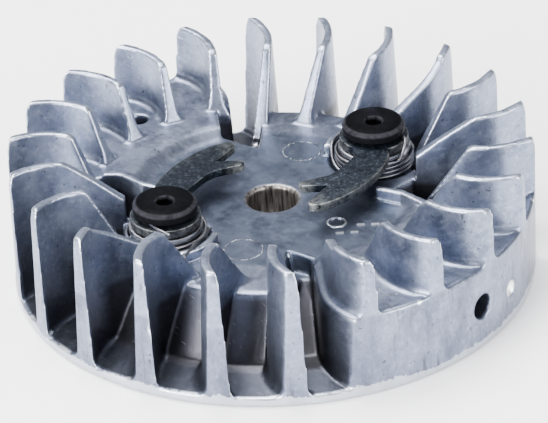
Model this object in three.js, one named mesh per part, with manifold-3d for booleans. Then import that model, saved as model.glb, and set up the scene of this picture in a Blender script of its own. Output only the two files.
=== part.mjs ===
// Cooling flywheel of a small two-stroke engine, with its two starter pawls.
// Millimetres, +Z along the crankshaft towards the starter side. The origin is on the crankshaft
// axis, in the plane of the flywheel's engine-side face. +X passes through the balance-weight block.

import * as THREE from 'three';
import { mergeVertices } from 'three/addons/utils/BufferGeometryUtils.js';
import Module from 'manifold-3d';

const wasm = await Module();
wasm.setup();

// ---- Driving dimensions -------------------------------------------------------------------

const RIM_RADIUS = 60;
const FIN_TOP = 33.6;
const FIN_COUNT = 22;
const PITCH = (2 * Math.PI) / FIN_COUNT;
const DEGREE = Math.PI / 180;

const PLATE_TOP = 17.5; // hub plate that the pawls lie over
const DECK_TOP = 19.7; // raised deck of the two solid blocks
const DECK_STEP_INNER = 29.7;
const DECK_STEP_OUTER = 33.8;
const RIB_TOP = 20.5; // rib beside the channel in front of each pawl
const RIB_STEP = 3.4; // its width, in degrees about the crankshaft axis
const SHELF_HEIGHT = 13.5; // shelf where the plate is cut back beside a block
const FLANGE_THICKNESS = 2;
const FLOOR_AT_WALL = 3; // floor of an air channel where it meets the hub wall
const HUB_WALL_BASE = 49;
const HUB_WALL_TOP = 41;

const FIN_CREST_START = 46; // the crest rises slightly from here to the rim
const FIN_CREST_LOW = 32.8;
const FIN_TIP_THICKNESS = 1.9;
const FIN_DRAFT = 0.08; // growth in thickness per millimetre down from the tip
const FIN_BEND_RADIUS = 46; // inside this radius a fin is straight in plan
const FIN_BEND_DEPTH = 3.9; // furthest that the middle of a fin leans off its radial line
const FIN_BEND_CENTRE = 50;
const FIN_BEND_SCALE = 28;
const FIN_LEAN = 0.27;
const FIN_FACE_TOP = 30.9; // the fins' outer ends lean in slightly above this height

const BORE_TOP_RADIUS = 5.65;
const BORE_BOTTOM_RADIUS = 6.75; // the crankshaft taper, one in sixteen on the radius
const KEYWAY_WIDTH = 3;
const KEYWAY_ANGLE = -52 * DEGREE;
const HUB_BOSS_RADIUS = 12;
const CAVITY_CEILING = 11.5; // space under the hub plate
const RIB_COUNT = 6;
const WEB_THICKNESS = 2.2;

const PIVOT_RADIUS = 29;
const PIVOT_ANGLE = 71 * DEGREE;
const POCKET_RADIUS = 10.4; // round seat for the spring
const POCKET_FLOOR = 16.5;
const GUARD_THICKNESS = 1.5;
const GUARD_TOP = 20.4;
const SCREW_BOSS_RADIUS = 6.5;

const GAP = 0.3; // working and seating clearance between neighbouring pieces

const BUSH_RADIUS = 8.4;
const BUSH_TOP = 21.9;
const SHOULDER_RADIUS = 4.5;
const THREAD_RADIUS = 3;
const SCREW_TIP = 7;
const HEAD_RADIUS = 7.3;
const HEAD_TOP_RADIUS = 6.4;
const HEAD_THICKNESS = 2.5;
const SOCKET_ACROSS_FLATS = 4;
const SOCKET_DEPTH = 2;

const PAWL_THICKNESS = 2;
const PAWL_BOTTOM = BUSH_TOP + GAP;
const PAWL_TOP = PAWL_BOTTOM + PAWL_THICKNESS;
const PAWL_EYE_RADIUS = 8;
const HEAD_BOTTOM = PAWL_TOP + 1; // room for the spring's upper leg

const WIRE_RADIUS = 0.36;
const COIL_RADIUS = 8.95;
const COIL_START = 260 * DEGREE;
const COIL_END = (345 + 3 * 360) * DEGREE;
const COIL_BOTTOM = POCKET_FLOOR + GAP + WIRE_RADIUS;
const COIL_PITCH = 1.1;

const POLE_RADIUS = 49.5; // inner face of the magnet and its pole shoes
const POLE_WIDTH = 9;
const MAGNET_WIDTH = 13;
const MAGNET_DEPTH = 7.5;
const MAGNET_HEIGHT = 12;
const POLE_HEIGHT = 14;
const MAGNET_RECESS = 0.6; // how far the magnet group sits up from the engine-side face

// ---- Materials ----------------------------------------------------------------------------

const castAluminium = new THREE.MeshStandardMaterial({ color: 0x9aa6ba, roughness: 0.42, metalness: 0.9 });
const pawlSteel = new THREE.MeshStandardMaterial({ color: 0x4a5150, roughness: 0.6, metalness: 0.8 });
const blackSteel = new THREE.MeshStandardMaterial({ color: 0x2b292e, roughness: 0.55, metalness: 0.6 });
const brightSteel = new THREE.MeshStandardMaterial({ color: 0x8d8f94, roughness: 0.25, metalness: 1 });
const springSteel = new THREE.MeshStandardMaterial({ color: 0x77777c, roughness: 0.35, metalness: 0.95 });
const poleSteel = new THREE.MeshStandardMaterial({ color: 0x6e6a66, roughness: 0.55, metalness: 0.9 });
const magnetMaterial = new THREE.MeshStandardMaterial({ color: 0x36373a, roughness: 0.7, metalness: 0.4 });

// ---- Joining and cutting ------------------------------------------------------------------

function toSolid(geometry) {
  const bare = geometry.clone();
  bare.deleteAttribute('normal');
  bare.deleteAttribute('uv');
  const merged = mergeVertices(bare, 1e-4);
  return new wasm.Manifold(new wasm.Mesh({
    numProp: 3,
    vertProperties: new Float32Array(merged.attributes.position.array),
    triVerts: new Uint32Array(merged.index.array),
  }));
}

function toGeometry(solid) {
  const mesh = solid.getMesh();
  const geometry = new THREE.BufferGeometry();
  geometry.setAttribute('position', new THREE.BufferAttribute(new Float32Array(mesh.vertProperties), 3));
  geometry.setIndex(new THREE.BufferAttribute(new Uint32Array(mesh.triVerts), 1));
  geometry.computeVertexNormals();
  return geometry;
}

// ---- Basic shapes -------------------------------------------------------------------------

// A profile of [radius, height] points turned about the Z axis.
function turned(profile, segments) {
  const points = profile.map(([radius, height]) => new THREE.Vector2(radius, height));
  return new THREE.LatheGeometry(points, segments).rotateX(Math.PI / 2);
}

function disc(radius, bottom, top, segments = 48) {
  return turned([[0, bottom], [radius, bottom], [radius, top], [0, top]], segments);
}

function ring(inner, outer, bottom, top, segments = 48) {
  return turned([[inner, bottom], [outer, bottom], [outer, top], [inner, top], [inner, bottom]], segments);
}

// An outline drawn in plan and raised from bottom to top.
function raised(shape, bottom, top, curveSegments = 12) {
  const settings = { depth: top - bottom, bevelEnabled: false, curveSegments };
  return new THREE.ExtrudeGeometry(shape, settings).translate(0, 0, bottom);
}

function polar(radius, angle) {
  return new THREE.Vector2(radius * Math.cos(angle), radius * Math.sin(angle));
}

// A ring sector in plan, from one angle round to a larger one.
function sector(inner, outer, from, to) {
  const shape = new THREE.Shape();
  shape.absarc(0, 0, outer, from, to, false);
  shape.absarc(0, 0, inner, to, from, true);
  shape.closePath();
  return shape;
}

// ---- Fins ---------------------------------------------------------------------------------

// How far the middle of a fin stands off its radial line, anticlockwise positive.
function finOffset(radius) {
  if (radius > FIN_BEND_RADIUS) {
    return (radius - FIN_BEND_CENTRE) ** 2 / FIN_BEND_SCALE - FIN_BEND_DEPTH;
  }
  return finOffset(FIN_BEND_RADIUS + 1e-9) + FIN_LEAN * (FIN_BEND_RADIUS - radius);
}

function finMiddle(radius) {
  const offset = finOffset(radius);
  return new THREE.Vector2(Math.sqrt(radius * radius - offset * offset), offset);
}

function finNormal(radius) {
  const along = finMiddle(radius + 0.1).sub(finMiddle(radius - 0.1)).normalize();
  return new THREE.Vector2(-along.y, along.x);
}

function finThickness(height) {
  return FIN_TIP_THICKNESS + FIN_DRAFT * (FIN_TOP - height);
}

// The top line of each kind of fin, as [radius, height] from its foot at the hub to its crest.
const topLine = {
  plate: [[32.5, 15], [45, 32.2], [46.2, 32.8]],
  besidePlate: [[34, 15], [45, 32.2], [46.2, 32.8]],
  shoulder: [[33.9, 10], [34, 23.4], [40.3, 28.3], [46, 32.2], [47.5, 32.9]],
  overPivot: [[36.6, 15], [39.8, 21.6], [45.2, 32.1], [46.2, 32.8]],
  lowered: [[38, 10], [38.2, 22.4], [45.7, 27.4], [52.4, 31.6], [54, 32.4]],
  deck: [[39.8, 18.5], [45.2, 32.1], [46.4, 32.8]],
  longDeck: [[33.5, 15], [43.4, 31.2], [45.4, 32.4]],
  sweptDeck: [[29, 15], [32.8, 20], [40.8, 29.3], [46, 31.4], [50, 32.2]],
};

// Fins anticlockwise from the one on +X.
const finKinds = [
  'longDeck', 'longDeck', 'besidePlate', 'shoulder', 'overPivot', 'lowered',
  'besidePlate', 'plate', 'plate', 'deck', 'deck', 'deck',
  'deck', 'deck', 'shoulder', 'overPivot', 'lowered', 'besidePlate',
  'plate', 'plate', 'sweptDeck', 'longDeck',
];

function crestHeight(radius) {
  const share = (radius - FIN_CREST_START) / (RIM_RADIUS - FIN_CREST_START);
  return FIN_CREST_LOW + (FIN_TOP - FIN_CREST_LOW) * share;
}

// Stations along a fin: the foot and crest of its kind, then the bend out to past the rim.
function finStations(kind) {
  const stations = topLine[kind].slice();
  const crestEnd = stations[stations.length - 1][0];
  for (const radius of [49, 52, 55, 58, RIM_RADIUS + 2]) {
    if (radius > crestEnd + 1) {
      stations.push([radius, crestHeight(radius)]);
    }
  }
  return stations;
}

// A block bent along the fin's plan curve, drawn down to its top line and thinned by its draft.
function finGeometry(kind) {
  const stations = finStations(kind);
  const lengthSteps = stations.length - 1;
  const block = new THREE.BoxGeometry(1, 1, 1, lengthSteps, 1, 2);
  const position = block.attributes.position;
  for (let i = 0; i < position.count; i += 1) {
    const station = stations[Math.round((position.getX(i) + 0.5) * lengthSteps)];
    const [radius, top] = station;
    const height = (position.getZ(i) + 0.5) * top;
    const side = Math.sign(position.getY(i));
    const place = finMiddle(radius).addScaledVector(finNormal(radius), side * finThickness(height) / 2);
    position.setXYZ(i, place.x, place.y, height);
  }
  return block;
}

function allFins() {
  const fins = finKinds.map((kind, index) => toSolid(finGeometry(kind).rotateZ(index * PITCH)));
  const joined = fins.reduce((sum, fin) => sum.add(fin));
  const sweep = turned([
    [0, -1],
    [RIM_RADIUS, -1],
    [RIM_RADIUS, FIN_FACE_TOP],
    [RIM_RADIUS - 0.5, FIN_TOP - 0.5],
    [RIM_RADIUS - 1.2, FIN_TOP + 0.2],
    [0, FIN_TOP + 0.2],
  ], 176);
  return joined.intersect(toSolid(sweep));
}

// ---- Casting ------------------------------------------------------------------------------

// Rim flange, channel floor, hub wall and hub plate, before the air channels are cut into it.
function hubBlank() {
  return toSolid(turned([
    [0, 0],
    [RIM_RADIUS, 0],
    [RIM_RADIUS, FLANGE_THICKNESS],
    [HUB_WALL_BASE + 1, FLOOR_AT_WALL],
    [HUB_WALL_BASE - 1, FLOOR_AT_WALL + 1.6],
    [HUB_WALL_TOP + 0.5, PLATE_TOP - 0.6],
    [HUB_WALL_TOP - 0.3, PLATE_TOP],
    [0, PLATE_TOP],
  ], 88));
}

// Corners given as [radius, degrees], all at one height.
function cornersAt(corners, height) {
  return corners.map(([radius, angle]) => {
    const place = polar(radius, angle * DEGREE);
    return [place.x, place.y, height];
  });
}

// Inner ends of the air channels that run further in than the hub wall: between which fins,
// and the radius of the plate's edge there. Each falls steeply at first and then ramps down.
const deepChannels = [[3, 35.2], [4, 38.8]];

// The channel in front of each pawl: it runs furthest in, along the flank of the block.
const pawlChannel = [[24, 34], [30, 30], [36, 23], [40, 24], [46, 27.8], [52, 28.6], [52, 48], [35.2, 49]];

function channelCuts(turn) {
  const outline = pawlChannel.map(([radius, angle]) => polar(radius, angle * DEGREE));
  let cut = toSolid(raised(new THREE.Shape(outline), FLOOR_AT_WALL, FIN_TOP));
  for (const [index, edge] of deepChannels) {
    const sides = [(index - 0.25) * PITCH / DEGREE, (index + 0.8) * PITCH / DEGREE];
    const across = (radius) => sides.map((angle) => [radius, angle]);
    cut = cut.add(wasm.Manifold.hull([
      ...cornersAt(across(edge), SHELF_HEIGHT),
      ...cornersAt(across(edge), PLATE_TOP + 1),
      ...cornersAt(across(HUB_WALL_BASE - 2), FLOOR_AT_WALL),
      ...cornersAt(across(HUB_WALL_BASE + 2), FLOOR_AT_WALL),
      ...cornersAt(across(HUB_WALL_BASE + 2), PLATE_TOP + 1),
    ]));
  }
  return cut.rotate([0, 0, turn / DEGREE]);
}

// A raised rib along the block's flank beside the pawl channel.
function channelRib(turn) {
  const outer = pawlChannel.slice(0, 4).map(([radius, angle]) => polar(radius, angle * DEGREE));
  const inner = pawlChannel.slice(0, 4)
    .map(([radius, angle]) => polar(radius - 0.4, (angle - RIB_STEP) * DEGREE));
  const rib = raised(new THREE.Shape([...inner, ...outer.reverse()]), PLATE_TOP - 4, RIB_TOP);
  return toSolid(rib.rotateZ(turn));
}

// The two channels next to the blocks: the plate's edge is cut back on a slant, falls steeply to a
// shelf, and a ramp runs from there to the channel floor.
const slantEdge = [[23.5, -46], [31.6, -32]];
const shelfEdge = [[26, -44.5], [32.6, -32.4]];
const shelfEnd = [[44, -31], [44, -52]];
const rampTop = [[29.5, -42], [34, -33]];
const rampFoot = [[46, -31], [46, -51]];
const rampEnd = [[52, -30], [52, -53]];

function slantCut(turn) {
  const shelf = wasm.Manifold.hull([
    ...cornersAt(slantEdge, PLATE_TOP),
    ...cornersAt(slantEdge, PLATE_TOP + 1),
    ...cornersAt(shelfEdge, SHELF_HEIGHT),
    ...cornersAt(shelfEnd, SHELF_HEIGHT),
    ...cornersAt(shelfEnd, PLATE_TOP + 1),
  ]);
  const ramp = wasm.Manifold.hull([
    ...cornersAt(rampTop, SHELF_HEIGHT),
    ...cornersAt(rampTop, PLATE_TOP),
    ...cornersAt(rampFoot, FLOOR_AT_WALL),
    ...cornersAt(rampEnd, FLOOR_AT_WALL),
    ...cornersAt(rampEnd, PLATE_TOP),
  ]);
  return shelf.add(ramp).rotate([0, 0, turn / DEGREE]);
}

// One block's ground plan: between the middles of its first and last fins.
function blockPlan() {
  const outline = [];
  for (const radius of [28, 36, 46, 50, 55, 62]) {
    outline.push(finMiddle(radius).rotateAround(new THREE.Vector2(), -2 * PITCH));
  }
  for (const index of [-1, 0, 1]) {
    outline.push(polar(66, index * PITCH));
  }
  for (const radius of [62, 55, 50, 46, 36, 28]) {
    outline.push(finMiddle(radius).rotateAround(new THREE.Vector2(), 2 * PITCH));
  }
  return new THREE.Shape(outline);
}

// Solid block with a raised deck that steps down softly to the hub plate.
function block(turn) {
  const body = toSolid(turned([
    [0, 1],
    [RIM_RADIUS, 1],
    [RIM_RADIUS, DECK_TOP],
    [DECK_STEP_OUTER, DECK_TOP],
    [DECK_STEP_OUTER - 1.4, DECK_TOP - 0.45],
    [DECK_STEP_INNER, PLATE_TOP - 0.05],
    [0, PLATE_TOP - 0.1],
  ], 88));
  return body.intersect(toSolid(raised(blockPlan(), 0, FIN_TOP).rotateZ(turn)));
}

// Space under the hub plate, open to the engine side, with the bosses left standing in it.
function undersideCavity() {
  let cavity = toSolid(ring(HUB_BOSS_RADIUS, 27.6, -1, CAVITY_CEILING, 66));
  for (const first of [5.15, 16.15]) {
    const wide = sector(26, 37.5, first * PITCH, (first + 2.45) * PITCH);
    cavity = cavity.add(toSolid(raised(wide, -1, CAVITY_CEILING)));
  }
  for (const turn of [0, Math.PI]) {
    const boss = disc(SCREW_BOSS_RADIUS, 4, CAVITY_CEILING + 1, 28);
    const place = polar(PIVOT_RADIUS, PIVOT_ANGLE + turn);
    cavity = cavity.subtract(toSolid(boss.translate(place.x, place.y, 0)));
    const channelWall = raised(sector(22.2, 28.5, 26 * DEGREE, 45 * DEGREE), -2, CAVITY_CEILING + 1, 4);
    cavity = cavity.subtract(toSolid(channelWall.rotateZ(turn)));
  }
  for (let rib = 0; rib < RIB_COUNT; rib += 1) {
    const web = new THREE.BoxGeometry(20, WEB_THICKNESS, 8).translate(20, 0, CAVITY_CEILING - 3);
    const turn = (rib * 360 / RIB_COUNT + 11) * DEGREE;
    cavity = cavity.subtract(toSolid(web.rotateZ(turn)));
  }
  return cavity;
}

function crankBore() {
  const slope = (BORE_BOTTOM_RADIUS - BORE_TOP_RADIUS) / PLATE_TOP;
  const cone = turned([
    [0, -1],
    [BORE_BOTTOM_RADIUS + slope, -1],
    [BORE_TOP_RADIUS, PLATE_TOP - 0.5],
    [BORE_TOP_RADIUS + 0.6, PLATE_TOP + 0.1],
    [0, PLATE_TOP + 0.1],
  ], 40);
  const keyway = new THREE.BoxGeometry(4, KEYWAY_WIDTH, 20).translate(6, 0, 8).rotateZ(KEYWAY_ANGLE);
  const keySlot = toSolid(keyway).intersect(toSolid(disc(9, -1, 12)));
  return toSolid(cone).add(keySlot);
}

// Spring seat cut into the plate, and the crescent wall that is left beside it.
function pivotCuts(turn) {
  const place = polar(PIVOT_RADIUS, PIVOT_ANGLE + turn);
  const seat = toSolid(disc(POCKET_RADIUS, POCKET_FLOOR, FIN_TOP + 1, 44));
  const thread = toSolid(disc(THREAD_RADIUS + GAP, SCREW_TIP - 1, PLATE_TOP, 20));
  return seat.add(thread).translate([place.x, place.y, 0]);
}

function guardWall(turn) {
  const from = 142 * DEGREE;
  const to = 205 * DEGREE;
  const plan = sector(POCKET_RADIUS - 0.2, POCKET_RADIUS + GUARD_THICKNESS, from, to);
  const wall = raised(plan, 12, GUARD_TOP);
  const place = polar(PIVOT_RADIUS, PIVOT_ANGLE);
  return toSolid(wall.translate(place.x, place.y, 0).rotateZ(turn));
}

// A round drilling into the rim face of the balance-weight block.
function rimDrilling(radius, depth, angle, height) {
  const drill = new THREE.CylinderGeometry(radius, radius, depth + 2, 20).rotateZ(Math.PI / 2);
  drill.translate(RIM_RADIUS + 1 - depth / 2, 0, height);
  return toSolid(drill.rotateZ(angle));
}

function magnetPocket() {
  const width = MAGNET_WIDTH + 2 * POLE_WIDTH + 4 * GAP;
  const inner = POLE_RADIUS - GAP;
  const outer = RIM_RADIUS + 2;
  const ceiling = MAGNET_RECESS + POLE_HEIGHT + GAP;
  const pocket = new THREE.BoxGeometry(outer - inner, width, ceiling + 1);
  pocket.translate((inner + outer) / 2, 0, (ceiling - 1) / 2);
  return toSolid(pocket.rotateZ(Math.PI));
}

function casting() {
  let body = hubBlank().subtract(slantCut(0)).subtract(slantCut(Math.PI));
  for (const turn of [0, Math.PI]) {
    body = body.add(block(turn)).subtract(channelCuts(turn)).add(channelRib(turn));
  }
  body = body.add(allFins());
  for (const turn of [0, Math.PI]) {
    body = body.subtract(pivotCuts(turn));
  }
  body = body.add(guardWall(0)).add(guardWall(Math.PI));
  body = body.subtract(undersideCavity()).subtract(crankBore()).subtract(magnetPocket());
  body = body.subtract(rimDrilling(2.9, 9, -3.4 * DEGREE, 10.1));
  body = body.subtract(rimDrilling(1.6, 0.8, 8.2 * DEGREE, 8.4));
  body = body.subtract(rimDrilling(1.7, 6, 33 * DEGREE, 10));
  const deckHole = disc(2.1, -1, FIN_TOP, 20).translate(-46.4, 10.2, 0);
  return body.subtract(toSolid(deckHole));
}

// ---- Starter pawl -------------------------------------------------------------------------

// Plan of a pawl about its own pivot, its arm lying along +Y. The two prongs of the forked end
// catch the starter pulley.
function pawlShape() {
  const shape = new THREE.Shape();
  shape.absarc(0, 0, PAWL_EYE_RADIUS, 137 * DEGREE, 438 * DEGREE, false);
  shape.lineTo(-0.3, 10.6);
  shape.quadraticCurveTo(0, 15.7, 0.4, 19.3);
  shape.lineTo(1.3, 21.5);
  shape.lineTo(5.7, 26.5);
  shape.quadraticCurveTo(6, 27.4, 5.2, 27.9);
  shape.lineTo(4.3, 28);
  shape.lineTo(-0.6, 25.5);
  shape.lineTo(0.1, 33);
  shape.quadraticCurveTo(0, 34.6, -1.4, 34.6);
  shape.lineTo(-2.6, 34.2);
  shape.bezierCurveTo(-8.4, 28.5, -10.5, 14, -7, 6.4);
  shape.closePath();
  return shape;
}

function pawl() {
  const hole = disc(SHOULDER_RADIUS + GAP, -1, PAWL_THICKNESS + 1, 28);
  const blank = toSolid(raised(pawlShape(), 0, PAWL_THICKNESS, 10));
  return blank.subtract(toSolid(hole));
}

// ---- Pivot hardware -----------------------------------------------------------------------

function shoulderScrew() {
  const turnedScrew = toSolid(turned([
    [0, SCREW_TIP],
    [THREAD_RADIUS - 0.5, SCREW_TIP],
    [THREAD_RADIUS, SCREW_TIP + 0.5],
    [THREAD_RADIUS, POCKET_FLOOR + GAP],
    [SHOULDER_RADIUS, POCKET_FLOOR + GAP],
    [SHOULDER_RADIUS, HEAD_BOTTOM],
    [HEAD_RADIUS - 0.3, HEAD_BOTTOM],
    [HEAD_RADIUS, HEAD_BOTTOM + 0.3],
    [HEAD_RADIUS, HEAD_BOTTOM + HEAD_THICKNESS - 0.9],
    [HEAD_TOP_RADIUS, HEAD_BOTTOM + HEAD_THICKNESS],
    [0, HEAD_BOTTOM + HEAD_THICKNESS],
  ], 36));
  const acrossCorners = SOCKET_ACROSS_FLATS / Math.cos(Math.PI / 6);
  const socket = disc(acrossCorners / 2, HEAD_BOTTOM + HEAD_THICKNESS - SOCKET_DEPTH, FIN_TOP, 6);
  return turnedScrew.subtract(toSolid(socket.rotateZ(19 * DEGREE)));
}

function pivotBush() {
  return turned([
    [SHOULDER_RADIUS + GAP, POCKET_FLOOR + GAP],
    [BUSH_RADIUS - 0.4, POCKET_FLOOR + GAP],
    [BUSH_RADIUS - 0.4, BUSH_TOP - 1.6],
    [BUSH_RADIUS, BUSH_TOP - 1.2],
    [BUSH_RADIUS, BUSH_TOP - 0.3],
    [BUSH_RADIUS - 0.3, BUSH_TOP],
    [SHOULDER_RADIUS + GAP, BUSH_TOP],
    [SHOULDER_RADIUS + GAP, POCKET_FLOOR + GAP],
  ], 36);
}

// Torsion spring about the pivot. The fixed leg lies over the guard wall and drops outside the
// coil to the bottom turn. The coil climbs to the pawl's outer side, and the free leg crosses the
// pawl's eye under the screw head.
function springPoints() {
  const fixedLeg = [
    [-11.7, 8.7, 21.1], [-10.9, 5.2, 21.1], [-10.1, 1.6, 21.1], [-9.7, -1.6, 21.1],
    [-9, -4.2, 20.9], [-7.9, -6, 19.8], [-6.4, -7.4, 18.3], [-4.3, -8.4, 17.4],
  ];
  const points = fixedLeg.map((place) => new THREE.Vector3(...place));
  const turns = (COIL_END - COIL_START) / (2 * Math.PI);
  const steps = Math.round(turns * 14);
  for (let step = 0; step <= steps; step += 1) {
    const angle = COIL_START + (step / steps) * (COIL_END - COIL_START);
    const height = COIL_BOTTOM + (step / steps) * turns * COIL_PITCH;
    points.push(new THREE.Vector3(COIL_RADIUS * Math.cos(angle), COIL_RADIUS * Math.sin(angle), height));
  }
  const overPawl = PAWL_TOP + WIRE_RADIUS + 0.14;
  const freeLeg = [
    [9, 352, 22.4], [8.9, 358, 24], [8.1, 7, overPawl], [6.3, 20, overPawl],
    [5.6, 55, overPawl], [5.6, 82, overPawl], [7.6, 113, overPawl], [10.3, 133, overPawl - 0.2],
  ];
  for (const [radius, angle, height] of freeLeg) {
    const place = polar(radius, angle * DEGREE);
    points.push(new THREE.Vector3(place.x, place.y, height));
  }
  return points;
}

function spring() {
  const path = new THREE.CatmullRomCurve3(springPoints(), false, 'centripetal');
  const section = new THREE.Shape().absarc(0, 0, WIRE_RADIUS, 0, 2 * Math.PI);
  const settings = { steps: 96, extrudePath: path, curveSegments: 3, bevelEnabled: false };
  return new THREE.ExtrudeGeometry(section, settings);
}

// ---- Magnet group -------------------------------------------------------------------------

function magnet() {
  const bottom = MAGNET_RECESS;
  const shape = new THREE.BoxGeometry(MAGNET_DEPTH, MAGNET_WIDTH, MAGNET_HEIGHT);
  return toSolid(shape.translate(POLE_RADIUS + MAGNET_DEPTH / 2, 0, bottom + MAGNET_HEIGHT / 2));
}

function poleShoe(side) {
  const offset = side * (MAGNET_WIDTH / 2 + GAP + POLE_WIDTH / 2);
  const shape = new THREE.BoxGeometry(20, POLE_WIDTH, POLE_HEIGHT);
  const blank = toSolid(shape.translate(POLE_RADIUS + 10, offset, MAGNET_RECESS + POLE_HEIGHT / 2));
  return blank.intersect(toSolid(disc(RIM_RADIUS, -1, FIN_TOP, 176)));
}

// ---- Assembly -----------------------------------------------------------------------------

const flywheel = new THREE.Group();

function addPiece(parent, name, geometry, material) {
  const mesh = new THREE.Mesh(geometry, material);
  mesh.name = name;
  parent.add(mesh);
  return mesh;
}

addPiece(flywheel, 'flywheel_casting', toGeometry(casting()), castAluminium);

const magnetGroup = new THREE.Group();
magnetGroup.rotation.z = Math.PI;
addPiece(magnetGroup, 'magnet', toGeometry(magnet()), magnetMaterial);
addPiece(magnetGroup, 'pole_shoe_leading', toGeometry(poleShoe(1)), poleSteel);
addPiece(magnetGroup, 'pole_shoe_trailing', toGeometry(poleShoe(-1)), poleSteel);
flywheel.add(magnetGroup);

const pawlRest = 9 * DEGREE;
for (const [letter, turn] of [['a', 0], ['b', Math.PI]]) {
  const station = new THREE.Group();
  const place = polar(PIVOT_RADIUS, PIVOT_ANGLE + turn);
  station.position.set(place.x, place.y, 0);
  station.rotation.z = turn;
  addPiece(station, `pawl_screw_${letter}`, toGeometry(shoulderScrew()), blackSteel);
  addPiece(station, `pawl_bush_${letter}`, pivotBush(), brightSteel);
  addPiece(station, `pawl_spring_${letter}`, spring(), springSteel);
  const arm = addPiece(station, `pawl_${letter}`, toGeometry(pawl()), pawlSteel);
  arm.position.z = PAWL_BOTTOM;
  arm.rotation.z = Math.PI + pawlRest;
  flywheel.add(station);
}

export default flywheel;
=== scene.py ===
"""Cooling flywheel of a small two-stroke engine: casting, starter pawls, their springs and screws.

Lengths are in millimetres in the named values and become metres where a shape is placed.
"""
import math
import random

import bpy
from mathutils import Matrix, Vector


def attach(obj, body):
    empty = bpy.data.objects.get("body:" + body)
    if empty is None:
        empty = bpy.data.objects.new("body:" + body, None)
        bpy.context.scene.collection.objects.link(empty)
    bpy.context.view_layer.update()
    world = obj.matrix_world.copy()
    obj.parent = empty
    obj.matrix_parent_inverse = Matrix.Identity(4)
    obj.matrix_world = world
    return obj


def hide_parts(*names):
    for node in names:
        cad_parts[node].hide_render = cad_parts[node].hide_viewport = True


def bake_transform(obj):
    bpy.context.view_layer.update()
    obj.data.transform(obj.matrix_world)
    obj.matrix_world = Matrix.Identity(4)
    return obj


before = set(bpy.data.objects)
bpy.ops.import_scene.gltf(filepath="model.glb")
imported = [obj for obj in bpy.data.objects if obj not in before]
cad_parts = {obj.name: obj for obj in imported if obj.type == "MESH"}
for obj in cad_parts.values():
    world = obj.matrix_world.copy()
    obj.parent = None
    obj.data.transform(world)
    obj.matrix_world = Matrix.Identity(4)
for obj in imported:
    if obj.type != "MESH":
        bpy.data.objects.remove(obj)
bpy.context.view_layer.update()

MM = 0.001
TURN = 2 * math.pi

# ---- Sizes, as in the engineering model ------------------------------------------------------

RIM_RADIUS = 60
FIN_COUNT = 22
PITCH = TURN / FIN_COUNT
FIN_TOP = 33.6
FIN_CREST_LOW = 32.8
FIN_CREST_START = 46
FIN_FACE_TOP = 30.9
FIN_TIP_THICKNESS = 1.9
FIN_DRAFT = 0.08
FIN_BEND_RADIUS = 46
FIN_BEND_CENTRE = 50
FIN_BEND_SCALE = 28
FIN_BEND_DEPTH = 3.9
FIN_LEAN = 0.27
FIN_FOOT_FILLET = 1.7

PLATE_TOP = 17.5
DECK_TOP = 19.7
DECK_STEP_INNER = 29.7
DECK_STEP_OUTER = 33.8
SHELF_HEIGHT = 13.5
FLANGE_THICKNESS = 2
FLOOR_AT_WALL = 3
HUB_WALL_BASE = 49
HUB_WALL_TOP = 41
RIB_TOP = 20.5
RIB_STEP = 3.4

PIVOT_RADIUS = 29
PIVOT_ANGLE = math.radians(71)
PAWL_REST = math.radians(9)
POCKET_RADIUS = 10.4
POCKET_FLOOR = 16.5
GUARD_TOP = 20.4
SHOULDER_RADIUS = 4.5
GAP = 0.3

BUSH_RADIUS = 8.4
BUSH_TOP = 21.9
PAWL_BOTTOM = BUSH_TOP + GAP
PAWL_THICKNESS = 2
PAWL_TOP = PAWL_BOTTOM + PAWL_THICKNESS
PAWL_EYE_RADIUS = 8
HEAD_BOTTOM = PAWL_TOP + 1
HEAD_RADIUS = 7.3
HEAD_TOP_RADIUS = 6.4
HEAD_TOP = HEAD_BOTTOM + 2.5
SOCKET_ACROSS_FLATS = 4
SOCKET_DEPTH = 2

WIRE_RADIUS = 0.36
COIL_RADIUS = 8.95
COIL_START = math.radians(260)
COIL_END = math.radians(345 + 3 * 360)
COIL_PITCH = 1.1
COIL_BOTTOM = POCKET_FLOOR + GAP + WIRE_RADIUS

BORE_TOP_RADIUS = 5.65
BORE_BOTTOM_RADIUS = 6.75

STATIONS = {"a": 0.0, "b": math.pi}  # each pawl's turn about the crankshaft axis


# ---- Working with objects --------------------------------------------------------------------

def clear_selection():
    bpy.ops.object.select_all(action="DESELECT")


def only(obj):
    clear_selection()
    obj.select_set(True)
    bpy.context.view_layer.objects.active = obj


def named(name):
    obj = bpy.context.object
    obj.name = name
    obj.data.name = name
    return obj


def apply_modifier(obj, kind, **settings):
    only(obj)
    modifier = obj.modifiers.new(kind.lower(), kind)
    for setting, value in settings.items():
        setattr(modifier, setting, value)
    bpy.ops.object.modifier_apply(modifier=modifier.name)


def combine(obj, other, operation="DIFFERENCE", solver="EXACT"):
    apply_modifier(obj, "BOOLEAN", object=other, operation=operation, solver=solver)
    bpy.data.objects.remove(other)
    return obj


def joined(pieces, name):
    clear_selection()
    for piece in pieces:
        piece.select_set(True)
    bpy.context.view_layer.objects.active = pieces[0]
    bpy.ops.object.join()
    return named(name)


def shift(obj, x=0.0, y=0.0, z=0.0, turn=0.0):
    """Places a shape: moved in millimetres first, then turned about the crankshaft axis."""
    obj.data.transform(Matrix.Rotation(turn, 4, "Z") @ Matrix.Translation((x * MM, y * MM, z * MM)))
    return obj


def smooth_shading(obj, angle=35):
    only(obj)
    bpy.ops.object.shade_smooth_by_angle(angle=math.radians(angle))
    return obj


# ---- Basic shapes ----------------------------------------------------------------------------

def polar(radius, degrees):
    angle = math.radians(degrees)
    return radius * math.cos(angle), radius * math.sin(angle)


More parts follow.
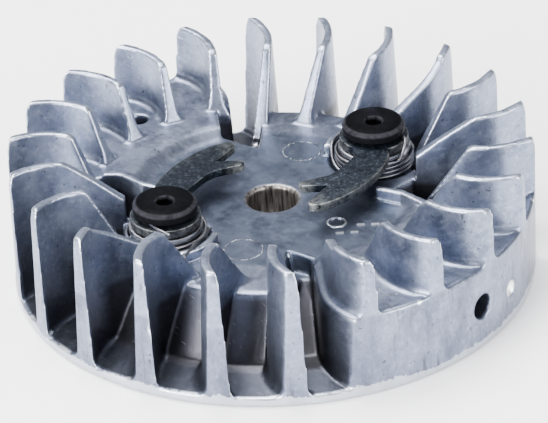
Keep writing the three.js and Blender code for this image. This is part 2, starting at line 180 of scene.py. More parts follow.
def turned(name, profile, segments=96):
    """A solid of revolution: a disc, extruded and resized through [radius, height] points."""
    clear_selection()
    radius, height = profile[0]
    bpy.ops.mesh.primitive_circle_add(vertices=segments, radius=radius * MM, fill_type="NGON",
                                      location=(0, 0, height * MM))
    obj = named(name)
    bpy.ops.object.transform_apply(location=True, rotation=False, scale=False)
    bpy.ops.object.mode_set(mode="EDIT")
    bpy.ops.mesh.select_all(action="SELECT")
    for next_radius, next_height in profile[1:]:
        rise = (0, 0, (next_height - height) * MM)
        bpy.ops.mesh.extrude_region_move(TRANSFORM_OT_translate={"value": rise})
        grow = next_radius / radius
        bpy.ops.transform.resize(value=(grow, grow, 1), center_override=(0, 0, next_height * MM))
        radius, height = next_radius, next_height
    bpy.ops.mesh.select_all(action="SELECT")
    bpy.ops.mesh.normals_make_consistent(inside=False)
    bpy.ops.object.mode_set(mode="OBJECT")
    return obj


def prism(name, outline, bottom, top):
    """A plan outline raised from bottom to top."""
    clear_selection()
    bpy.ops.mesh.primitive_circle_add(vertices=len(outline), radius=1, fill_type="NGON")
    obj = named(name)
    for vertex, (x, y) in zip(obj.data.vertices, outline):
        vertex.co = (x * MM, y * MM, bottom * MM)
    bpy.ops.object.mode_set(mode="EDIT")
    bpy.ops.mesh.select_all(action="SELECT")
    bpy.ops.mesh.extrude_region_move(TRANSFORM_OT_translate={"value": (0, 0, (top - bottom) * MM)})
    bpy.ops.mesh.select_all(action="SELECT")
    bpy.ops.mesh.normals_make_consistent(inside=False)
    bpy.ops.object.mode_set(mode="OBJECT")
    return obj


def arc(radius, start, end, steps):
    """Points round the origin from one angle to another, in degrees."""
    return [polar(radius, start + (end - start) * step / steps) for step in range(steps + 1)]


def sector(inner, outer, start, end, steps=24):
    return arc(outer, start, end, steps) + arc(inner, end, start, steps)


# ---- Fins ------------------------------------------------------------------------------------

TOP_LINE = {
    "plate": [(32.5, 15), (45, 32.2), (46.2, 32.8)],
    "beside_plate": [(34, 15), (45, 32.2), (46.2, 32.8)],
    "shoulder": [(33.9, 10), (34, 23.4), (40.3, 28.3), (46, 32.2), (47.5, 32.9)],
    "over_pivot": [(36.6, 15), (39.8, 21.6), (45.2, 32.1), (46.2, 32.8)],
    "lowered": [(38, 10), (38.2, 22.4), (45.7, 27.4), (52.4, 31.6), (54, 32.4)],
    "deck": [(39.8, 18.5), (45.2, 32.1), (46.4, 32.8)],
    "long_deck": [(33.5, 15), (43.4, 31.2), (45.4, 32.4)],
    "swept_deck": [(29, 15), (32.8, 20), (40.8, 29.3), (46, 31.4), (50, 32.2)],
}
FIN_KINDS = [
    "long_deck", "long_deck", "beside_plate", "shoulder", "over_pivot", "lowered",
    "beside_plate", "plate", "plate", "deck", "deck", "deck",
    "deck", "deck", "shoulder", "over_pivot", "lowered", "beside_plate",
    "plate", "plate", "swept_deck", "long_deck",
]
ON_DECK = {0, 1, 9, 10, 11, 12, 20, 21}
BLOCK_FLANKS = {9, 20}  # fins with the deck on one side and an air channel on the other
OVER_CAVITY = {6, 7, 17, 18}  # fins whose inner ends stand on the plate, over the space below
PLATE_EDGE = 39


def fin_offset(radius):
    if radius > FIN_BEND_RADIUS:
        return (radius - FIN_BEND_CENTRE) ** 2 / FIN_BEND_SCALE - FIN_BEND_DEPTH
    return (FIN_BEND_RADIUS - FIN_BEND_CENTRE) ** 2 / FIN_BEND_SCALE - FIN_BEND_DEPTH \
        + FIN_LEAN * (FIN_BEND_RADIUS - radius)


def fin_middle(radius):
    # the bend starts softly, so the offset is averaged over a short stretch
    spread = 1.5
    offset = sum(fin_offset(radius + spread * side) for side in (-1, -0.5, 0, 0.5, 1)) / 5
    return Vector((math.sqrt(radius * radius - offset * offset), offset))


def fin_normal(radius):
    along = (fin_middle(radius + 0.1) - fin_middle(radius - 0.1)).normalized()
    return Vector((-along.y, along.x))


def line_height(line, radius):
    if radius >= line[-1][0]:
        crest = (FIN_TOP - FIN_CREST_LOW) / (RIM_RADIUS - FIN_CREST_START)
        return max(line[-1][1], FIN_CREST_LOW + crest * (radius - FIN_CREST_START))
    for (r0, h0), (r1, h1) in zip(line, line[1:]):
        if r0 <= radius <= r1:
            return h0 + (h1 - h0) * (radius - r0) / (r1 - r0)
    return line[0][1]


def foot_height(index, radius):
    """Height of the surface that the fin stands on."""
    if index in ON_DECK:
        return DECK_TOP
    if index in OVER_CAVITY and radius < PLATE_EDGE:
        return PLATE_TOP
    if radius > HUB_WALL_BASE:
        return FLOOR_AT_WALL - (radius - HUB_WALL_BASE) / 11
    return FLOOR_AT_WALL


def half_thickness(height, foot):
    half = (FIN_TIP_THICKNESS + FIN_DRAFT * (FIN_TOP - height)) / 2
    above = max(height - foot, 0)
    if above < FIN_FOOT_FILLET:
        half += FIN_FOOT_FILLET - math.sqrt(FIN_FOOT_FILLET ** 2 - (FIN_FOOT_FILLET - above) ** 2)
    return half


def fin(index, sweep):
    line = TOP_LINE[FIN_KINDS[index]]
    first = line[0][0]
    radii = sorted({first + 1.2 * step for step in range(int((62.5 - first) / 1.2) + 1)}
                   | {radius for radius, _ in line})
    levels = 14
    clear_selection()
    bpy.ops.mesh.primitive_grid_add(x_subdivisions=len(radii) - 1, y_subdivisions=levels, size=1)
    obj = named(f"fin_{index}")
    bpy.ops.object.mode_set(mode="EDIT")
    bpy.ops.mesh.select_all(action="SELECT")
    bpy.ops.mesh.extrude_region_move(TRANSFORM_OT_translate={"value": (0, 0, 1)})
    bpy.ops.object.mode_set(mode="OBJECT")
    for vertex in obj.data.vertices:
        radius = radii[round((vertex.co.x + 0.5) * (len(radii) - 1))]
        level = round((vertex.co.y + 0.5) * levels)
        foot = foot_height(index, radius)
        top = line_height(line, radius)
        side = 1 if vertex.co.z > 0.5 else -1
        sunk = index in ON_DECK - BLOCK_FLANKS or foot == PLATE_TOP
        low_steps = [foot - 2 if sunk else 0, foot - 0.01, foot + 0.15, foot + 0.45, foot + 0.9, foot + FIN_FOOT_FILLET]
        if top < foot + FIN_FOOT_FILLET + 1:
            height = low_steps[0] + (top - low_steps[0]) * level / levels
        elif level < len(low_steps):
            height = low_steps[level]
        else:
            share = (level - len(low_steps) + 1) / (levels - len(low_steps) + 1)
            height = low_steps[-1] + (top - low_steps[-1]) * share
        place = fin_middle(radius) + fin_normal(radius) * side * half_thickness(height, foot)
        vertex.co = (place.x * MM, place.y * MM, height * MM)
    only(obj)
    bpy.ops.object.mode_set(mode="EDIT")
    bpy.ops.mesh.select_all(action="SELECT")
    bpy.ops.mesh.normals_make_consistent(inside=False)
    bpy.ops.object.mode_set(mode="OBJECT")
    apply_modifier(obj, "BOOLEAN", object=sweep, operation="INTERSECT", solver="EXACT")
    return shift(obj, turn=index * PITCH)


def all_fins():
    sweep = turned("sweep", [(RIM_RADIUS, 0.02), (RIM_RADIUS, FIN_FACE_TOP), (RIM_RADIUS - 0.5, FIN_TOP - 0.5),
                             (RIM_RADIUS - 1.0, FIN_TOP + 0.2)], 264)
    fins = [fin(index, sweep) for index in range(FIN_COUNT)]
    bpy.data.objects.remove(sweep)
    return fins


# ---- Hub -------------------------------------------------------------------------------------

PAWL_CHANNEL = [(24, 34), (30, 30), (36, 23), (40, 24), (46, 27.8), (52, 28.6), (52, 48), (35.2, 49)]


def fin_line(index, radii):
    """Plan points down the middle of a fin."""
    points = []
    for radius in radii:
        place = fin_middle(radius)
        angle = math.degrees(math.atan2(place.y, place.x)) + index * 360 / FIN_COUNT
        points.append(polar(radius, angle))
    return points


def deck_block(turn):
    body = turned("block", [(RIM_RADIUS, 0.5), (RIM_RADIUS, DECK_TOP - 0.1), (RIM_RADIUS - 0.5, DECK_TOP + 0.35),
                            (RIM_RADIUS - 1.3, DECK_TOP + 0.35), (RIM_RADIUS - 1.9, DECK_TOP),
                            (DECK_STEP_OUTER + 0.6, DECK_TOP), (DECK_STEP_OUTER - 0.9, DECK_TOP - 0.3),
                            (DECK_STEP_INNER + 1.3, PLATE_TOP + 0.5), (DECK_STEP_INNER, PLATE_TOP - 0.02)], 176)
    radii = (28, 36, 42, 46, 50, 55, 62)
    outline = fin_line(-2, radii) + arc(66, -30, 30, 8) + fin_line(2, radii[::-1])
    combine(body, prism("plan", outline, 0, FIN_TOP), "INTERSECT")
    return shift(body, turn=turn)


def hull(name, points):
    """The smallest convex solid round the points."""
    clear_selection()
    bpy.ops.mesh.primitive_circle_add(vertices=len(points), radius=1, fill_type="NOTHING")
    obj = named(name)
    for vertex, (x, y, z) in zip(obj.data.vertices, points):
        vertex.co = (x * MM, y * MM, z * MM)
    bpy.ops.object.mode_set(mode="EDIT")
    bpy.ops.mesh.select_all(action="SELECT")
    bpy.ops.mesh.convex_hull()
    bpy.ops.mesh.select_all(action="SELECT")
    bpy.ops.mesh.normals_make_consistent(inside=False)
    bpy.ops.object.mode_set(mode="OBJECT")
    return obj


def corners_at(corners, height):
    return [(*polar(*corner), height) for corner in corners]


def slant_cut(turn):
    """The plate's edge cut back on a slant, a steep fall to a shelf, and a ramp to the channel floor."""
    edge, shelf_edge, shelf_end = ((23.5, -46), (31.6, -32)), ((26, -44.5), (32.6, -32.4)), ((44, -31), (44, -52))
    top, foot, end = ((29.5, -42), (34, -33)), ((46, -31), (46, -51)), ((52, -30), (52, -53))
    shelf = hull("shelf", corners_at(edge, PLATE_TOP) + corners_at(edge, PLATE_TOP + 1)
                 + corners_at(shelf_edge + shelf_end, SHELF_HEIGHT) + corners_at(shelf_end, PLATE_TOP + 1))
    ramp = hull("ramp", corners_at(top, SHELF_HEIGHT) + corners_at(top, PLATE_TOP)
                + corners_at(foot + end, FLOOR_AT_WALL) + corners_at(end, PLATE_TOP))
    return shift(combine(shelf, ramp, "UNION"), turn=turn)


def channel_cut(turn):
    cut = prism("channel", [polar(*point) for point in PAWL_CHANNEL], FLOOR_AT_WALL, FIN_TOP)
    for index, edge in ((3, 35.2), (4, 38.8)):
        sides = ((index - 0.25) * 360 / FIN_COUNT, (index + 0.8) * 360 / FIN_COUNT)
        top, foot, end = ([(radius, side) for side in sides] for radius in (edge, HUB_WALL_BASE - 2, HUB_WALL_BASE + 2))
        ramp = hull("deep", corners_at(top, SHELF_HEIGHT) + corners_at(top + end, PLATE_TOP + 1)
                    + corners_at(foot + end, FLOOR_AT_WALL))
        combine(cut, ramp, "UNION")
    return shift(cut, turn=turn)


def channel_rib(turn):
    outer = [polar(*point) for point in PAWL_CHANNEL[:4]]
    inner = [polar(radius - 0.4, angle - RIB_STEP) for radius, angle in PAWL_CHANNEL[:4]]
    return shift(prism("rib", inner + outer[::-1], PLATE_TOP - 4, RIB_TOP), turn=turn)


def underside():
    """Open space under the hub plate, with its ribs and screw bosses left standing."""
    ceiling = 11.5
    cavity = turned("cavity", [(27.8, -1), (27.6, ceiling - 1), (26.4, ceiling)])
    combine(cavity, turned("hub_boss", [(12.4, -2), (12, ceiling + 1)]))
    for first in (5.15, 16.15):
        wide = sector(26, 37.5, first * 360 / FIN_COUNT, (first + 2.45) * 360 / FIN_COUNT)
        combine(cavity, prism("wide", wide, -1, ceiling), "UNION")
    for turn in STATIONS.values():
        x, y = polar(PIVOT_RADIUS, 71)
        combine(cavity, shift(turned("screw_boss", [(6.3, 4), (6.6, ceiling + 1)], 48), x, y, turn=turn))
        combine(cavity, shift(prism("channel_wall", sector(22.2, 28.5, 26, 45), -2, ceiling + 1), turn=turn))
    for rib in range(6):
        web = prism("web", [(10, -1.1), (30, -1.1), (30, 1.1), (10, 1.1)], ceiling - 7, ceiling + 1)
        combine(cavity, shift(web, turn=math.radians(rib * 60 + 11)))
    return cavity


def machined_cuts():
    """Bore, keyway, spring seats, drillings and the magnet pocket."""
    slope = (BORE_BOTTOM_RADIUS - BORE_TOP_RADIUS) / PLATE_TOP
    cuts = [turned("bore", [(BORE_BOTTOM_RADIUS + slope, -1), (BORE_TOP_RADIUS, PLATE_TOP - 0.7),
                            (BORE_TOP_RADIUS + 0.75, PLATE_TOP + 0.05), (BORE_TOP_RADIUS + 0.75, PLATE_TOP + 1)])]
    keyway = prism("keyway", [(4, -1.5), (8, -1.5), (8, 1.5), (4, 1.5)], -0.9, 12)
    combine(cuts[0], shift(keyway, turn=math.radians(-52)), "UNION")
    x, y = polar(PIVOT_RADIUS, 71)
    for turn in STATIONS.values():
        cuts.append(shift(turned("seat", [(3.3, 6), (3.3, POCKET_FLOOR - 0.02), (POCKET_RADIUS - 0.4, POCKET_FLOOR),
                                          (POCKET_RADIUS, POCKET_FLOOR + 0.4), (POCKET_RADIUS, FIN_TOP)]), x, y, turn=turn))
    for radius, depth, angle, height in ((2.9, 9, -3.4, 10.1), (1.9, 0.6, 8.2, 8.4), (1.7, 6, 33, 10)):
        drill = turned("drill", [(radius * 0.25, RIM_RADIUS - depth - radius * 0.4), (radius, RIM_RADIUS - depth),
                                 (radius, RIM_RADIUS - 0.35), (radius + 0.5, RIM_RADIUS + 0.15),
                                 (radius + 0.5, RIM_RADIUS + 2)], 48)
        drill.data.transform(Matrix.Rotation(math.radians(90), 4, "Y"))
        cuts.append(shift(drill, z=height, turn=math.radians(angle)))
    pocket = prism("pocket", [(49.2, -16.1), (64, -16.1), (64, 16.1), (49.2, 16.1)], -1, 14.9)
    cuts.append(shift(pocket, turn=math.pi))
    cuts.append(shift(turned("deck_hole", [(2.1, -1), (2.1, DECK_TOP - 0.3), (2.5, DECK_TOP + 0.1),
                                           (2.5, FIN_TOP)], 48), -46.4, 10.2))
    return cuts


def guard_wall(turn):
    wall = prism("guard", sector(POCKET_RADIUS - 0.2, POCKET_RADIUS + 1.5, 142, 205), 12, GUARD_TOP)
    x, y = polar(PIVOT_RADIUS, 71)
    return shift(wall, x, y, turn=turn)


def ejector_rings():
    """The crumbled rings of flash that the ejector pins leave."""
    rings = []
    for radius, angle, size, height in ((22.3, 108, 4.4, PLATE_TOP), (23.3, 289.8, 4.4, PLATE_TOP),
                                        (52, -24.5, 2.2, DECK_TOP)):
        clear_selection()
        bpy.ops.mesh.primitive_torus_add(major_radius=size * MM, minor_radius=0.16 * MM, major_segments=90, minor_segments=8)
        flash = named("ejector_flash")
        crumble = random.Random(radius)
        for ring in range(90):
            grow = 1 + crumble.uniform(-0.02, 0.02)
            lift = crumble.uniform(-0.24, 0.06) * MM
            for vertex in flash.data.vertices[ring * 8:ring * 8 + 8]:
                vertex.co = (vertex.co.x * grow, vertex.co.y * grow, vertex.co.z * 0.9 + lift)
        x, y = polar(radius, angle)
        rings.append(shift(flash, x, y, height + 0.03))
    return smooth_shading(joined(rings, "ejector_rings"), 40)


def cast_marks():
    """A raised foundry badge and a few dashes beside it."""
    marks = []
    x, y = polar(18.8, -3.3)
    badge = turned("badge", [(2.3, 0), (2.3, 0.18), (2.15, 0.26)], 64)
    combine(badge, turned("badge_middle", [(1.85, -1), (1.85, 1)], 64))
    marks.append(shift(badge, x, y, PLATE_TOP - 0.05))
    for radius, angle in ((22.6, -12), (24.8, -6), (24, 2), (26.8, 6)):
        x, y = polar(radius, angle)
        dash = prism("dash", [(-0.9, -0.4), (0.9, -0.4), (0.9, 0.4), (-0.9, 0.4)], 0, 0.25)
        shift(dash, turn=math.radians(37))
        marks.append(shift(dash, x, y, PLATE_TOP - 0.05))
    return smooth_shading(joined(marks, "foundry_marks"), 40)


def casting():
    body = turned("hub", [(RIM_RADIUS, 0), (RIM_RADIUS, FLANGE_THICKNESS), (HUB_WALL_BASE + 2, FLOOR_AT_WALL - 0.1),
                          (HUB_WALL_BASE, FLOOR_AT_WALL + 0.5), (HUB_WALL_BASE - 1.2, FLOOR_AT_WALL + 2),
                          (HUB_WALL_TOP + 0.9, PLATE_TOP - 1.4), (HUB_WALL_TOP + 0.2, PLATE_TOP - 0.3),
                          (HUB_WALL_TOP - 0.8, PLATE_TOP)], 264)
    for turn in STATIONS.values():
        combine(body, slant_cut(turn))
        combine(body, deck_block(turn), "UNION")
        combine(body, channel_cut(turn))
    combine(body, underside())
    combine(body, joined(machined_cuts(), "machined"))
    loose = all_fins()
    for turn in STATIONS.values():
        loose.append(channel_rib(turn))
        loose.append(guard_wall(turn))
    body = joined([body] + loose, "casting")
    voxel = 0.33
    apply_modifier(body, "REMESH", mode="VOXEL", voxel_size=voxel * MM)
    apply_modifier(body, "SMOOTH", factor=0.5, iterations=12)
    apply_modifier(body, "DECIMATE", ratio=190000 / (2 * len(body.data.polygons)))
    return smooth_shading(body, 40)


# ---- Pawl and its hardware -------------------------------------------------------------------

def bezier(start, first, second, end, steps):
    points = []
    for step in range(1, steps + 1):
        t = step / steps
        u = 1 - t
        points.append(tuple(u ** 3 * a + 3 * u * u * t * b + 3 * u * t * t * c + t ** 3 * d
                            for a, b, c, d in zip(start, first, second, end)))
    return points


def pawl_outline():
    outline = arc(PAWL_EYE_RADIUS, 137, 438, 60)
    outline += [(0.4, 9.4), (-0.3, 10.9), (-0.25, 13.5), (0, 16.4), (0.4, 19.3), (1.3, 21.5), (3.5, 24),
                (5.5, 26.3), (5.8, 27), (5.6, 27.6), (5.1, 27.95), (4.3, 28), (2, 26.8), (-0.35, 25.6),
                (-0.6, 25.7), (-0.6, 26.1), (-0.3, 29), (0.1, 33), (0, 34), (-0.6, 34.6), (-1.4, 34.7), (-2.6, 34.2)]
    return outline + bezier(outline[-1], (-8.4, 28.5), (-10.5, 14), (-7, 6.4), 16)


def pawl(letter, turn):
    body = prism(f"pawl_arm_{letter}", pawl_outline(), PAWL_BOTTOM, PAWL_TOP)
    combine(body, turned("eye", [(SHOULDER_RADIUS + GAP, PAWL_BOTTOM - 1), (SHOULDER_RADIUS + GAP, PAWL_TOP + 1)], 64))
    apply_modifier(body, "BEVEL", width=0.32 * MM, segments=3, limit_method="ANGLE", angle_limit=math.radians(50))
    shift(body, turn=math.pi + PAWL_REST)
    x, y = polar(PIVOT_RADIUS, 71)
    return smooth_shading(shift(body, x, y, turn=turn), 40)


def shoulder_screw(letter, turn):
    body = turned(f"shoulder_screw_{letter}", [
        (2.5, 7), (3, 7.5), (3, POCKET_FLOOR + GAP - 0.02), (SHOULDER_RADIUS, POCKET_FLOOR + GAP),
        (SHOULDER_RADIUS, HEAD_BOTTOM - 0.02), (HEAD_RADIUS - 0.35, HEAD_BOTTOM), (HEAD_RADIUS - 0.1, HEAD_BOTTOM + 0.1),
        (HEAD_RADIUS, HEAD_BOTTOM + 0.35), (HEAD_RADIUS, HEAD_TOP - 0.95), (HEAD_RADIUS - 0.12, HEAD_TOP - 0.7),
        (HEAD_TOP_RADIUS + 0.15, HEAD_TOP - 0.12), (HEAD_TOP_RADIUS - 0.15, HEAD_TOP)], 96)
    across_corners = SOCKET_ACROSS_FLATS / math.cos(math.pi / 6)
    socket = turned("socket", [(across_corners / 2 - 0.4, HEAD_TOP - SOCKET_DEPTH - 0.5),
                               (across_corners / 2, HEAD_TOP - SOCKET_DEPTH), (across_corners / 2, HEAD_TOP + 1)], 6)
    combine(body, shift(socket, turn=math.radians(19)))
    combine(body, turned("lead_in", [(1.9, HEAD_TOP - 0.42), (2.5, HEAD_TOP + 0.05), (2.5, HEAD_TOP + 1)], 48))
    x, y = polar(PIVOT_RADIUS, 71)
    return smooth_shading(shift(body, x, y, turn=turn), 32)


def pivot_bush(letter, turn):
    bottom = POCKET_FLOOR + GAP
    body = turned(f"pivot_bush_{letter}", [
        (BUSH_RADIUS - 0.6, bottom), (BUSH_RADIUS - 0.4, bottom + 0.2), (BUSH_RADIUS - 0.4, BUSH_TOP - 1.7),
        (BUSH_RADIUS - 0.05, BUSH_TOP - 1.3), (BUSH_RADIUS, BUSH_TOP - 1.15), (BUSH_RADIUS, BUSH_TOP - 0.35),
        (BUSH_RADIUS - 0.1, BUSH_TOP - 0.1), (BUSH_RADIUS - 0.35, BUSH_TOP)], 96)
    combine(body, turned("bush_bore", [(SHOULDER_RADIUS + GAP, bottom - 1), (SHOULDER_RADIUS + GAP, BUSH_TOP + 1)], 64))
    x, y = polar(PIVOT_RADIUS, 71)
    return smooth_shading(shift(body, x, y, turn=turn), 40)


def through(points, samples):
    """A smooth line through the points."""
    line = []
    ends = [points[0] * 2 - points[1]] + points + [points[-1] * 2 - points[-2]]
    for before, start, end, after in zip(ends, ends[1:], ends[2:], ends[3:]):
        for sample in range(samples):
            t = sample / samples
            line.append(0.5 * ((2 * start) + (end - before) * t + (2 * before - 5 * start + 4 * end - after) * t * t
                               + (3 * start - before - 3 * end + after) * t ** 3))
    return line + [points[-1]]


def spring_route():
    points = [Vector(place) for place in (
        (-11.7, 8.7, 21.1), (-10.9, 5.2, 21.1), (-10.1, 1.6, 21.1), (-9.7, -1.6, 21.1), (-9, -4.2, 20.9),
        (-7.9, -6, 19.8), (-6.4, -7.4, 18.3), (-4.3, -8.4, 17.4))]
    turns = (COIL_END - COIL_START) / TURN
    steps = round(turns * 24)
    for step in range(steps + 1):
        angle = COIL_START + (COIL_END - COIL_START) * step / steps
        height = COIL_BOTTOM + turns * COIL_PITCH * step / steps
        points.append(Vector((COIL_RADIUS * math.cos(angle), COIL_RADIUS * math.sin(angle), height)))
    over_pawl = PAWL_TOP + WIRE_RADIUS + 0.14
    for radius, angle, height in ((9, 352, 22.4), (8.9, 358, 24), (8.1, 7, over_pawl), (6.3, 20, over_pawl),
                                  (5.6, 37, over_pawl), (5.6, 55, over_pawl), (5.6, 82, over_pawl),
                                  (7.6, 113, over_pawl), (10.3, 133, over_pawl - 0.2)):
        points.append(Vector((*polar(radius, angle), height)))
    return through(points, 4)


def pawl_spring(letter, turn):
    route = spring_route()
    curve = bpy.data.curves.new(f"torsion_spring_{letter}", "CURVE")
    curve.dimensions = "3D"
    curve.bevel_depth = WIRE_RADIUS * MM
    curve.bevel_resolution = 4
    curve.use_fill_caps = True
    spline = curve.splines.new("POLY")
    spline.points.add(len(route) - 1)
    for point, place in zip(spline.points, route):
        point.co = (place.x * MM, place.y * MM, place.z * MM, 1)
    obj = bpy.data.objects.new(curve.name, curve)
    bpy.context.collection.objects.link(obj)
    only(obj)
    bpy.ops.object.convert(target="MESH")
    obj = bpy.context.object
    x, y = polar(PIVOT_RADIUS, 71)
    return smooth_shading(shift(obj, x, y, turn=turn), 60)


# ---- Materials -------------------------------------------------------------------------------

class Nodes:
    """A small helper that adds and links shader nodes in reading order."""

    def __init__(self, name):
        self.material = bpy.data.materials.new(name)
        self.material.use_nodes = True
        self.tree = self.material.node_tree
        self.shader = self.tree.nodes["Principled BSDF"]
        self.place = self.add("ShaderNodeTexCoord").outputs["Object"]

    def add(self, kind, **settings):
        node = self.tree.nodes.new(kind)
        for setting, value in settings.items():
            setattr(node, setting, value)
        return node

    def link(self, source, target):
        self.tree.links.new(source, target)

    def noise(self, scale, detail=4, roughness=0.55, stretch=None):
        node = self.add("ShaderNodeTexNoise")
        node.inputs["Scale"].default_value = scale
        node.inputs["Detail"].default_value = detail
        node.inputs["Roughness"].default_value = roughness
        place = self.place
        if stretch:
            mapping = self.add("ShaderNodeMapping")
            mapping.inputs["Scale"].default_value = stretch
            self.link(place, mapping.inputs["Vector"])
            place = mapping.outputs["Vector"]
        self.link(place, node.inputs["Vector"])
        return node.outputs["Fac"]

    def height(self):
        split = self.add("ShaderNodeSeparateXYZ")
        self.link(self.place, split.inputs["Vector"])
        return split.outputs["Z"]

    def distance(self, weights):
        """Distance from the origin, with each axis weighted."""
        weighted = self.add("ShaderNodeVectorMath", operation="MULTIPLY")
        weighted.inputs[1].default_value = weights
        self.link(self.place, weighted.inputs[0])
        length = self.add("ShaderNodeVectorMath", operation="LENGTH")
        self.link(weighted.outputs["Vector"], length.inputs[0])
        return length.outputs["Value"]

    def span(self, source, low, high, to_low=0.0, to_high=1.0):
        node = self.add("ShaderNodeMapRange")
        for socket, value in (("From Min", low), ("From Max", high), ("To Min", to_low), ("To Max", to_high)):
            node.inputs[socket].default_value = value
        self.link(source, node.inputs["Value"])
        return node.outputs["Result"]

    def math(self, operation, first, second):
        node = self.add("ShaderNodeMath", operation=operation)
        for socket, value in zip(node.inputs, (first, second)):
            if isinstance(value, (int, float)):
                socket.default_value = value
            else:
                self.link(value, socket)
        return node.outputs["Value"]

    def mix(self, share, first, second, blend="MIX"):
        node = self.add("ShaderNodeMix", data_type="RGBA", blend_type=blend)
        for socket, value in ((node.inputs["Factor"], share), (node.inputs[6], first), (node.inputs[7], second)):
            if isinstance(value, (int, float)):
                socket.default_value = value
            elif isinstance(value, tuple):
                socket.default_value = (*value, 1)
            else:
                self.link(value, socket)
        return node.outputs[2]

    def bump(self, height, strength, distance):
        node = self.add("ShaderNodeBump")
        node.inputs["Strength"].default_value = strength
        node.inputs["Distance"].default_value = distance
        self.link(height, node.inputs["Height"])
        self.link(node.outputs["Normal"], self.shader.inputs["Normal"])


def cast_aluminium():
    """Die-cast aluminium: bluish grey skin with flow marks, dark stains, fine pits, edges painted bright as part wear
    and part highlight, and painted shade low in the channels, at the hub wall and in creases.
    """
    n = Nodes("cast_aluminium")
    n.shader.inputs["Metallic"].default_value = 0.9
    broad = n.noise(45, 5, 0.6)
    cloudy = n.noise(190, 7, 0.7)
    fine = n.noise(750, 5, 0.7)
    grain = n.noise(2600, 3, 0.6)
    colour = n.mix(n.span(broad, 0.35, 0.65), (0.12, 0.142, 0.2), (0.2, 0.23, 0.325))
    colour = n.mix(n.span(cloudy, 0.38, 0.68, 0, 0.65), colour, (0.33, 0.37, 0.48))
    colour = n.mix(n.span(fine, 0.5, 0.75, 0, 0.5), colour, (0.46, 0.505, 0.64))
    stains = n.math("MULTIPLY", n.span(n.noise(95, 10, 0.8), 0.54, 0.7), 0.7)
    colour = n.mix(stains, colour, (0.05, 0.06, 0.085))
    radius = n.distance((1, 1, 0))
    height = n.height()
    wall = n.math("MULTIPLY", n.span(radius, 0.0589, 0.0594), n.span(height, 0.0205, 0.0195))
    streaked = n.span(n.noise(120, 8, 0.75, (1, 1, 0.35)), 0.42, 0.64, 0.2, 0.85)
    colour = n.mix(n.math("MULTIPLY", wall, streaked), colour, (0.08, 0.086, 0.125))
    scored = n.span(n.noise(420, 4, 0.6, (1, 1, 0.12)), 0.6, 0.68, 0, 0.6)
    colour = n.mix(n.math("MULTIPLY", wall, scored), colour, (0.05, 0.05, 0.065))
    specks = n.span(n.noise(900, 2, 0.5), 0.67, 0.74, 0, 0.7)
    colour = n.mix(specks, colour, (0.03, 0.032, 0.04))
    pointed = n.add("ShaderNodeNewGeometry").outputs["Pointiness"]
    # Painted shade: darker low down inside the rim, between the fins.
    low_painted_shade = n.math("MULTIPLY", n.span(radius, 0.0594, 0.0588), n.span(height, 0.025, 0.006))
    colour = n.mix(n.math("MULTIPLY", low_painted_shade, 0.84), colour, (0.032, 0.033, 0.041))
    # Painted shade at the foot of the hub wall, below the plate, mottled by the broad noise.
    hub_wall_shade = n.math("MULTIPLY", n.span(radius, 0.052, 0.0495), n.span(height, 0.0172, 0.0158))
    colour = n.mix(n.math("MULTIPLY", hub_wall_shade, n.span(broad, 0.3, 0.7, 0.55, 0.85)), colour, (0.03, 0.027, 0.028))
    plate = n.math("MULTIPLY", n.span(radius, 0.0305, 0.029), n.span(height, 0.0184, 0.0178))
    colour = n.mix(n.math("MULTIPLY", plate, 0.6), colour, (0.042, 0.057, 0.092))
    # Convex edges painted near white: part wear, part painted highlight.
    edges = n.math("MULTIPLY", n.span(pointed, 0.52, 0.57), n.span(cloudy, 0.25, 0.55, 0.5, 0.9))
    colour = n.mix(edges, colour, (0.86, 0.9, 0.96))
    # Painted shade: concave creases darkened.
    colour = n.mix(n.span(pointed, 0.48, 0.4, 0, 0.5), colour, (0.04, 0.045, 0.06))
    scratches = n.span(n.noise(230, 3, 0.5, (1, 16, 3)), 0.69, 0.72, 0, 0.15)
    colour = n.mix(scratches, colour, (0.72, 0.75, 0.8))
    ragged = n.math("ADD", height, n.math("MULTIPLY", n.noise(140, 6, 0.75), 0.006))
    trimmed = n.math("MULTIPLY", n.span(radius, 0.0588, 0.0593), n.span(ragged, 0.0052, 0.005))
    colour = n.mix(n.math("MULTIPLY", trimmed, 0.55), colour, (0.7, 0.74, 0.8))
    spot = n.add("ShaderNodeVectorMath", operation="DISTANCE")
    n.link(n.place, spot.inputs[0])
    spot.inputs[1].default_value = (*(MM * part for part in polar(59.4, 8.2)), 8.4 * MM)
    colour = n.mix(n.span(spot.outputs["Value"], 0.0021, 0.0017), colour, (0.95, 0.96, 0.97))
    streaks = n.noise(1500, 3, 0.6, (1, 1, 0.08))
    bore = n.span(radius, 0.0066, 0.0063)
    bore_metal = n.mix(n.span(streaks, 0.35, 0.65), (0.05, 0.042, 0.038), (0.3, 0.28, 0.265))
    colour = n.mix(bore, colour, bore_metal)
    n.link(colour, n.shader.inputs["Base Color"])
    rough = n.span(cloudy, 0.3, 0.7, 0.27, 0.42)
    rough = n.math("SUBTRACT", rough, n.math("MULTIPLY", edges, 0.12))
    n.link(rough, n.shader.inputs["Roughness"])
    skin = n.math("ADD", n.math("MULTIPLY", grain, 0.35), n.math("MULTIPLY", fine, 0.7))
    n.bump(n.math("ADD", skin, n.math("MULTIPLY", cloudy, 0.5)), 0.35, 0.00016)
    return n.material


